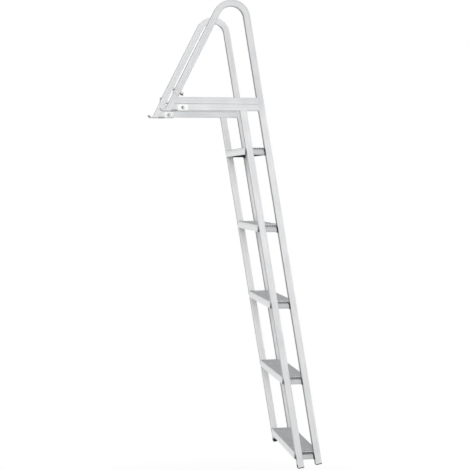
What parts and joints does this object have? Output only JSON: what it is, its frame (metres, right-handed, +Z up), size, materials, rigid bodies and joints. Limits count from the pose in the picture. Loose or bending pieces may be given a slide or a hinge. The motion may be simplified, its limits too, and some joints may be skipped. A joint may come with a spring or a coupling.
{
  "type": "dock ladder",
  "caption": "Inclined dock ladder of welded square aluminium tube with hooped handrails, mat-topped channel treads and bolted deck brackets that fix it to a dock.",
  "frame": {"origin": "centre of the left deck bracket's underside, so the dock's deck is the plane Z = 0", "axes": "+X runs from the dock out over the water, +Y from the ladder's left side frame to its right one, +Z up"},
  "size_m": [0.6354, 0.518, 1.8232],
  "materials": {
    "square_tube": "satin",
    "tread_extrusion": "satin",
    "tread_rubber": "matte",
    "bracket_white": "satin",
    "bracket_steel": "satin",
    "stainless_hardware": "brushed",
    "black_cap": "matte"
  },
  "bodies": {
    "root": {"left_handrail_tube": "square_tube", "right_handrail_tube": "square_tube", "left_front_stile": "square_tube", "right_front_stile": "square_tube", "left_leg_stub": "square_tube", "right_leg_stub": "square_tube", "left_upper_rail": "square_tube", "right_upper_rail": "square_tube", "left_lower_rail": "square_tube", "right_lower_rail": "square_tube", "left_cross_bar_1": "square_tube", "left_cross_bar_2": "square_tube", "left_cross_bar_3": "square_tube", "left_cross_bar_4": "square_tube", "left_cross_bar_5": "square_tube", "right_cross_bar_1": "square_tube", "right_cross_bar_2": "square_tube", "right_cross_bar_3": "square_tube", "right_cross_bar_4": "square_tube", "right_cross_bar_5": "square_tube", "tread_1": "tread_extrusion", "tread_2": "tread_extrusion", "tread_3": "tread_extrusion", "tread_4": "tread_extrusion", "tread_5": "tread_extrusion", "tread_mat_1": "tread_rubber", "tread_mat_2": "tread_rubber", "tread_mat_3": "tread_rubber", "tread_mat_4": "tread_rubber", "tread_mat_5": "tread_rubber", "left_deck_bracket": "bracket_steel", "left_outer_cheek": "bracket_white", "left_inner_cheek": "bracket_white", "right_deck_bracket": "bracket_steel", "right_outer_cheek": "bracket_white", "right_inner_cheek": "bracket_white", "left_bracket_bolt": "stainless_hardware", "right_bracket_bolt": "stainless_hardware", "left_lock_pin": "stainless_hardware", "right_lock_pin": "stainless_hardware", "left_front_foot_cap": "black_cap", "left_rear_foot_cap": "black_cap", "right_front_foot_cap": "black_cap", "right_rear_foot_cap": "black_cap"}
  },
  "joints": []
}
